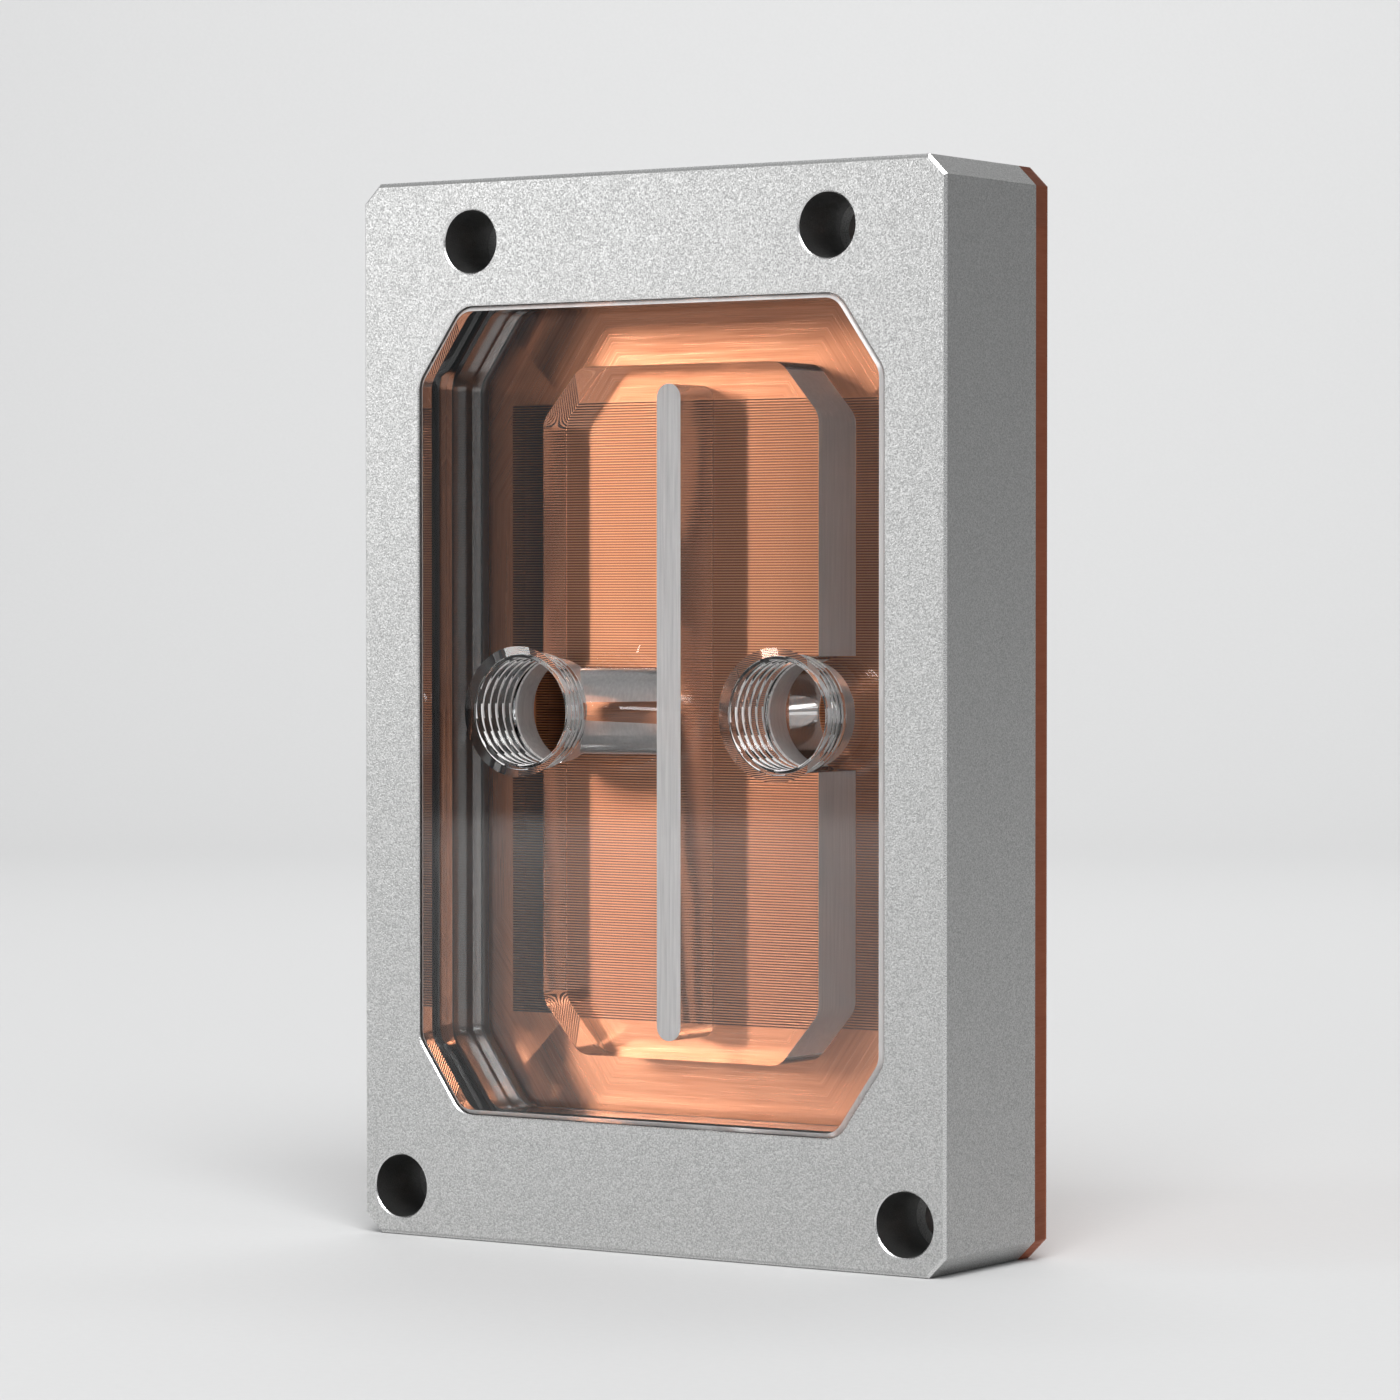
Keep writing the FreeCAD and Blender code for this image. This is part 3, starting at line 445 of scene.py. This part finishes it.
def copper():
    """Copper, brushed round its border, with sawn fins and a machined rim."""
    look = bpy.context.scene.cold_plate_metal
    base = look.copper_colour
    material, graph, sockets = new_material("Brushed Copper", Metallic=1.0, Anisotropic=0.92)
    place = graph.place()
    sideways, inward, up = graph.parts(place)
    side = graph.math("ABSOLUTE", sideways)
    end = graph.math("ABSOLUTE", graph.math("SUBTRACT", up, PORT_LEVEL))
    reach = graph.math("SUBTRACT", end, TALLER_BY)
    corner = graph.math(
        "MULTIPLY_ADD", side, CORNER_SLOPE[0], graph.math("MULTIPLY", reach, CORNER_SLOPE[1]))
    ring = graph.math("MAXIMUM", graph.math("MAXIMUM", side, reach), corner)

    on_back = graph.math("GREATER_THAN", inward, COLD_FACE_Y - 0.5 * MM)
    in_front = graph.math("SUBTRACT", 1.0, on_back)
    in_width = graph.math("MULTIPLY", graph.math("LESS_THAN", side, FIELD_HALF_WIDTH), in_front)
    in_field = graph.math("MULTIPLY", in_width, graph.math("LESS_THAN", end, FIELD_HALF_HEIGHT))
    straight = graph.math("MAXIMUM", in_field, on_back)
    on_end = graph.math("MAXIMUM", graph.math("GREATER_THAN", reach, side), straight)
    is_face = graph.math("GREATER_THAN", graph.facing(), 0.7)

    strokes = placed(graph, brush_strokes, {
        "Across": graph.choose(straight, ring, up), "Along": graph.choose(on_end, up, sideways),
        "Width": look.stroke, "Length": 9 * MM})
    rim = placed(graph, brush_strokes, {
        "Across": up, "Along": inward, "Width": 0.22 * MM, "Length": 3 * MM})
    shade = graph.choose(is_face, rim["Shade"], graph.choose(in_field, strokes["Shade"], 0.55))
    value = graph.tidied(shade)
    tone = graph.blend(value, toned(base, 0.72, 0.62, 0.55), toned(base, 1.08, 1.2, 1.3))
    dull = graph.spread(graph.noise(place, 60.0, 3.0, 0.6), 0.5, 0.75, 0.0, 0.35)
    aged = graph.blend(dull, tone, toned(base, 0.8, 0.62, 0.5))
    # Painted shade: the fin gaps behind the frame's back and all faces that don't face the front
    # are darkened towards a deep copper
    behind_frame = graph.math("GREATER_THAN", inward, FRAME_BACK_Y + 0.04 * MM)
    in_gap = graph.math("MULTIPLY", in_front, behind_frame)
    shaded = graph.math("MAXIMUM", in_gap, graph.math("SUBTRACT", 1.0, is_face))
    gap_and_side_shade = graph.math("MULTIPLY", shaded, 0.85)
    graph.feed(sockets["Base Color"], graph.blend(gap_and_side_shade, aged, toned(base, 0.42, 0.32, 0.32)))

    matt = look.copper_roughness
    rough = graph.spread(value, 0.0, 1.0, matt + 0.07, matt - 0.07)
    graph.feed(sockets["Roughness"], graph.math("MULTIPLY_ADD", in_gap, 0.25, rough))
    graph.feed(sockets["Normal"], graph.bump(value, 0.08, 0.02 * MM))
    across_grooves = {0: graph.math("SUBTRACT", 1.0, on_end), 2: on_end}
    graph.feed(sockets["Tangent"], graph.add("ShaderNodeCombineXYZ", across_grooves).outputs[0])
    return material


def polished_plastic():
    """The plate's polished faces, with the faintest ripple."""
    look = bpy.context.scene.cold_plate_clear
    tint = look.plate_colour
    material, graph, sockets = new_material(
        "Polished Clear Plastic", Transmission_Weight=1.0, IOR=1.49, Roughness=0.0)
    haze = graph.noise(graph.place(), 45.0, 2.0, 0.5)
    graph.feed(sockets["Base Color"], graph.blend(haze, toned(tint, 1), toned(tint, 0.985)))
    graph.feed(sockets["Roughness"], graph.spread(haze, 0.35, 0.75, 0.0, 0.02))
    return material


def milled_plastic(name, frost, see_through, ridge, depth):
    """Walls and floors that a cutter left, frosted and with its marks."""
    look = bpy.context.scene.cold_plate_clear
    tint = look.milled_colour
    material, graph, sockets = new_material(name, Transmission_Weight=see_through, IOR=1.49)
    place = graph.place()
    sideways, inward, up = graph.parts(place)
    across = graph.math("ADD", sideways, inward) if ridge == "across" else up
    marks = placed(graph, cutter_marks, {
        "Place": place, "Across": across, "Spacing": look.cutter_mark})
    streak = graph.tidied(marks["Streaks"])
    graph.feed(sockets["Base Color"], graph.blend(streak, toned(tint, 0.82), toned(tint, 1)))
    mixed = graph.math("MULTIPLY_ADD", marks["Ridges"], 0.3, graph.math("MULTIPLY", streak, 0.7))
    graph.feed(sockets["Roughness"], graph.spread(mixed, 0.0, 1.0, frost * 0.75, frost * 1.25))
    graph.feed(sockets["Normal"], graph.bump(mixed, depth, 0.02 * MM))
    return material


def rubber():
    """Black moulded rubber with a faint bloom."""
    look = bpy.context.scene.cold_plate_clear
    base = look.seal_colour
    material, graph, sockets = new_material("Seal Rubber", Specular_IOR_Level=0.5)
    grain = placed(graph, blasted_grain, {"Place": graph.place(), "Width": 0.12 * MM})
    bloom = tuple(part + 0.02 for part in base) + (1,)
    graph.feed(sockets["Base Color"], graph.blend(grain["Shade"], toned(base, 1), bloom))
    graph.feed(sockets["Roughness"], graph.spread(grain["Shade"], 0.3, 0.7, 0.38, 0.55))
    graph.feed(sockets["Normal"], graph.bump(grain["Height"], 0.2, 0.01 * MM))
    return material


def screw_steel():
    """Plated steel, a little brighter on its slanted edges."""
    look = bpy.context.scene.cold_plate_metal
    light = toned(look.screw_colour, 1.25)
    material, graph, sockets = new_material("Screw Steel", Metallic=1.0)
    grain = placed(graph, blasted_grain, {"Place": graph.place(), "Width": 0.1 * MM})
    edge = placed(graph, cut_edges)["Mask"]
    tone = graph.blend(grain["Shade"], toned(look.screw_colour, 0.75), light)
    graph.feed(sockets["Base Color"], graph.blend(graph.math("MULTIPLY", edge, 0.3), tone, light))
    graph.feed(sockets["Roughness"], graph.spread(grain["Shade"], 0.3, 0.7, 0.26, 0.4))
    graph.feed(sockets["Normal"], graph.bump(grain["Height"], 0.15, 0.01 * MM))
    return material


def thread_height(phase):
    """Depth of a rounded V thread, from 0 at its root to 1 at its crest."""
    slope = 1 - abs(2 * (phase % 1.0) - 1)
    slope = min(max((slope - 0.12) / 0.76, 0), 1)
    return slope * slope * (3 - 2 * slope)


def thread_cutter(name, centre_x):
    """A closed rod with a screw surface, which cuts the thread into a port."""
    sizes = bpy.context.scene.cold_plate_thread
    around = 96
    steps_per_turn = 12
    start = -0.4 * MM
    rows = int((sizes.depth - start) / sizes.pitch * steps_per_turn)
    work = bmesh.new()
    rings = []
    for row in range(rows + 1):
        depth = start + row * sizes.pitch / steps_per_turn
        fade = min(1.0, (rows - row) / steps_per_turn)
        ring = []
        for step in range(around):
            angle = 2 * pi * step / around
            cut = thread_height(row / steps_per_turn + step / around) * fade
            radius = sizes.root + (sizes.crest - sizes.root) * cut
            across, up = radius * cos(angle), radius * sin(angle)
            ring.append(work.verts.new((centre_x + across, FRONT_Y + depth, PORT_LEVEL + up)))
        rings.append(ring)
    for first, second in zip(rings, rings[1:]):
        for step in range(around):
            following = (step + 1) % around
            work.faces.new((first[step], first[following], second[following], second[step]))
    work.faces.new(rings[0])
    work.faces.new(list(reversed(rings[-1])))
    bmesh.ops.recalc_face_normals(work, faces=work.faces)
    mesh = bpy.data.meshes.new(name)
    work.to_mesh(mesh)
    work.free()
    cutter = bpy.data.objects.new(name, mesh)
    bpy.context.scene.collection.objects.link(cutter)
    return cutter


def wall_kind(centre, normal):
    """Which finish a face of the flow plate has: an index into its materials."""
    sizes = bpy.context.scene.cold_plate_thread
    depth = centre.y - FRONT_Y
    across = centre.x
    level = centre.z - PORT_LEVEL
    from_port = min(hypot(across - side * sizes.spacing / 2, level) for side in (-1, 1))
    facing = abs(normal.y)
    is_wall = facing < 0.3
    is_flat = facing >= 0.98
    ceiling, ceiling_end = SLOT_CEILING
    island_from, island_to = ISLAND_SIDE
    if depth < BEVEL_DEPTH and 0.3 < facing < 0.95 and from_port >= MOUTH_RADIUS:
        return SATIN
    if from_port < THREAD_OUTSIDE and MOUTH_DEPTH < depth < sizes.depth + THREAD_RUNOUT:
        return POLISHED if THREAD_FLANKS[0] <= from_port <= THREAD_FLANKS[1] else THREADED
    if from_port < BORE_RADIUS and is_wall and depth < CHAMBER_CEILING:
        return SATIN
    in_channel = CHANNEL_ENDS[0] < across < CHANNEL_ENDS[1] and abs(level) < CHANNEL_HALF_WIDTH
    if in_channel and depth > ceiling and not is_flat:
        return SATIN
    on_right = island_from < across < island_to and normal.x > 0.3
    if on_right and is_wall and depth > CHAMBER_CEILING:
        return MILKY
    in_slot = abs(across) < SLOT_HALF_WIDTH and abs(level) < SLOT_HALF_HEIGHT
    if in_slot and ceiling < depth < ceiling_end:
        return FROSTED if facing > 0.9 else SMOOTH
    in_island = abs(across) < island_to and abs(level) < ISLAND_HALF_HEIGHT
    if in_island and not is_flat and ceiling < depth < POCKETS_END:
        return SMOOTH
    return POLISHED


class COLDPLATE_OT_stage(bpy.types.Operator):
    """Pale floor and backdrop, soft lights and the camera"""
    bl_idname = "coldplate.stage"
    bl_label = "Stage"

    def execute(self, context):
        look = context.scene.cold_plate_studio
        self.add_floor(look)
        self.add_world(look)
        self.add_lights(look)
        self.add_camera(look)
        context.scene.view_settings.view_transform = "Standard"
        return {"FINISHED"}

    def add_floor(self, look):
        """A floor that sweeps up into a backdrop."""
        material, graph, sockets = new_material("Pale Floor", Roughness=0.75)
        tint = look.floor_colour
        mottle = graph.noise(graph.place(), 900.0, 3.0, 0.6)
        graph.feed(sockets["Base Color"], graph.blend(mottle, toned(tint, 0.95), toned(tint, 1)))
        steps = 24
        back = FLOOR_ENDS[1]
        profile = [(end, 0.0) for end in FLOOR_ENDS]
        for step in range(1, steps + 1):
            bend = radians(90) * step / steps
            profile.append((back + SWEEP_RADIUS * sin(bend), SWEEP_RADIUS * (1 - cos(bend))))
        profile.append((back + SWEEP_RADIUS, BACKDROP_TOP))
        turn = Matrix.Rotation(look.turn, 4, "Z")
        work = bmesh.new()
        rows = []
        for away, up in profile:
            ends = [
                turn @ Vector((across, away, up - FLOOR_GAP))
                for across in (-FLOOR_HALF_WIDTH, FLOOR_HALF_WIDTH)]
            rows.append([work.verts.new(end) for end in ends])
        for first, second in zip(rows, rows[1:]):
            work.faces.new((first[0], first[1], second[1], second[0])).smooth = True
        mesh = bpy.data.meshes.new("floor")
        work.to_mesh(mesh)
        work.free()
        mesh.materials.append(material)
        floor = bpy.data.objects.new("floor", mesh)
        bpy.context.scene.collection.objects.link(floor)

    def add_world(self, look):
        """Even light from all round."""
        world = bpy.data.worlds.new("Soft Sky")
        bpy.context.scene.world = world
        world.use_nodes = True
        background = world.node_tree.nodes["Background"]
        background.inputs["Color"].default_value = (0.96, 0.98, 1.0, 1)
        background.inputs["Strength"].default_value = look.sky

    def add_lights(self, look):
        """A key at the front left, one above, one high at the front right, one on the backdrop."""
        middle = Vector((0, 0, 0.06))
        wall = Vector((-0.75, 1.20, 0.45))
        lamps = [
            ("key", (-0.73, -0.89, 0.30), 0.24, look.key, middle),
            ("overhead", (-0.28, -0.22, 1.08), 0.95, look.overhead, middle),
            ("front_fill", (0.47, -0.645, 1.01), 0.70, look.fill, middle),
            ("backdrop", (-0.15, 0.45, 1.10), 0.60, look.back, wall),
        ]
        for name, place, width, watts, target in lamps:
            data = bpy.data.lights.new(name, "AREA")
            data.shape = "RECTANGLE"
            data.size = data.size_y = width
            data.energy = watts
            lamp = bpy.data.objects.new(name, data)
            lamp.location = place
            lamp.rotation_euler = (target - Vector(place)).to_track_quat("-Z", "Y").to_euler()
            bpy.context.scene.collection.objects.link(lamp)

    def add_camera(self, look):
        """The camera, at the angle of a product photograph."""
        data = bpy.data.cameras.new("camera")
        data.lens = look.lens
        data.sensor_width = SENSOR_WIDTH
        camera = bpy.data.objects.new("camera", data)
        camera.location = CAMERA_PLACE
        camera.rotation_euler = (radians(90) - look.dip, 0, look.turn)
        bpy.context.scene.collection.objects.link(camera)
        bpy.context.scene.camera = camera


class COLDPLATE_OT_clamp_frame(bpy.types.Operator):
    """Finish of the bead blasted frame"""
    bl_idname = "coldplate.clamp_frame"
    bl_label = "Clamp frame"

    def execute(self, context):
        finish_with("clamp_frame", aluminium())
        return {"FINISHED"}


class COLDPLATE_OT_cold_plate(bpy.types.Operator):
    """Finish of the copper plate and its fins"""
    bl_idname = "coldplate.cold_plate"
    bl_label = "Cold plate"

    def execute(self, context):
        finish_with("cold_plate", copper())
        return {"FINISHED"}


class COLDPLATE_OT_flow_plate(bpy.types.Operator):
    """The clear flow plate with threads cut into its ports"""
    bl_idname = "coldplate.flow_plate"
    bl_label = "Flow plate"

    def execute(self, context):
        sizes = context.scene.cold_plate_thread
        work = copy_of("flow_plate")
        settle = 0.02 * MM
        for vert in work.verts:
            if abs(vert.co.y - PLATE_BACK_Y) < SAME_PLACE:
                vert.co.y -= settle
            if abs(vert.co.y - FRONT_Y - LIP_DEPTH) < SAME_PLACE:
                vert.co.y += settle
        mesh = bpy.data.meshes.new("clear_flow_plate")
        work.to_mesh(mesh)
        work.free()
        piece = new_piece("clear_flow_plate", mesh, ["flow_plate"])
        for index, side in enumerate((-1, 1)):
            cutter = thread_cutter("thread_cutter_%d" % index, side * sizes.spacing / 2)
            modifier = piece.modifiers.new("Thread", "BOOLEAN")
            modifier.operation = "DIFFERENCE"
            modifier.solver = "EXACT"
            modifier.object = cutter
            run_modifiers(piece)
            bpy.data.objects.remove(cutter)
        even_normals(piece)
        mesh = piece.data
        mesh.materials.clear()
        for material in (
            polished_plastic(),
            milled_plastic("Frosted Milled Plastic", 0.36, 0.05, "across", 0.12),
            milled_plastic("Threaded Plastic", 0.30, 0.25, "across", 0.03),
            milled_plastic("Smooth Milled Plastic", 0.05, 0.97, "up", 0.10),
            milled_plastic("Satin Milled Plastic", 0.18, 0.50, "up", 0.03),
            milled_plastic("Milky Milled Plastic", 0.75, 0.70, "up", 0.03),
        ):
            mesh.materials.append(material)
        for face in mesh.polygons:
            face.material_index = wall_kind(face.center, face.normal)
        return {"FINISHED"}


class COLDPLATE_OT_perimeter_seal(bpy.types.Operator):
    """The rubber ring, a hair smaller than its seat"""
    bl_idname = "coldplate.perimeter_seal"
    bl_label = "Perimeter seal"

    def execute(self, context):
        work = copy_of("perimeter_seal")
        bmesh.ops.recalc_face_normals(work, faces=work.faces)
        work.normal_update()
        slack = 0.04 * MM
        for vert in work.verts:
            vert.co -= vert.normal * slack
        mesh = bpy.data.meshes.new("seal_ring")
        work.to_mesh(mesh)
        work.free()
        mesh.materials.append(rubber())
        piece = new_piece("seal_ring", mesh, ["perimeter_seal"])
        even_normals(piece, radians(40))
        return {"FINISHED"}


class COLDPLATE_OT_screws(bpy.types.Operator):
    """Finish of the countersunk screws"""
    bl_idname = "coldplate.screws"
    bl_label = "Cold plate screws"

    def execute(self, context):
        material = screw_steel()
        for name in SCREWS:
            finish_with(name, material)
        return {"FINISHED"}


class COLDPLATE_PT_panel(bpy.types.Panel):
    """Lists the pieces and their finishes"""
    bl_label = "Cold Plate"
    bl_idname = "COLDPLATE_PT_panel"
    bl_space_type = "VIEW_3D"
    bl_region_type = "UI"
    bl_category = "Cold Plate"

    def draw(self, context):
        layout = self.layout
        for kind in OPERATORS:
            layout.operator(kind.bl_idname)
        for name, group in SETTINGS.items():
            box = layout.box()
            for label in group.__annotations__:
                box.prop(getattr(context.scene, name), label)


SETTINGS = {
    "cold_plate_metal": MetalFinish,
    "cold_plate_clear": ClearFinish,
    "cold_plate_thread": PortThread,
    "cold_plate_studio": Studio,
}
OPERATORS = (
    COLDPLATE_OT_stage,
    COLDPLATE_OT_clamp_frame,
    COLDPLATE_OT_cold_plate,
    COLDPLATE_OT_perimeter_seal,
    COLDPLATE_OT_flow_plate,
    COLDPLATE_OT_screws,
)


def register():
    for name, group in SETTINGS.items():
        bpy.utils.register_class(group)
        setattr(bpy.types.Scene, name, bpy.props.PointerProperty(type=group))
    for kind in OPERATORS + (COLDPLATE_PT_panel,):
        bpy.utils.register_class(kind)


def unregister():
    for kind in reversed(OPERATORS + (COLDPLATE_PT_panel,)):
        bpy.utils.unregister_class(kind)
    for name, group in SETTINGS.items():
        delattr(bpy.types.Scene, name)
        bpy.utils.unregister_class(group)


def main():
    """Build the whole scene, piece by piece."""
    register()
    for kind in OPERATORS:
        group, name = kind.bl_idname.split(".")
        getattr(getattr(bpy.ops, group), name)()


if __name__ == "__main__":
    main()
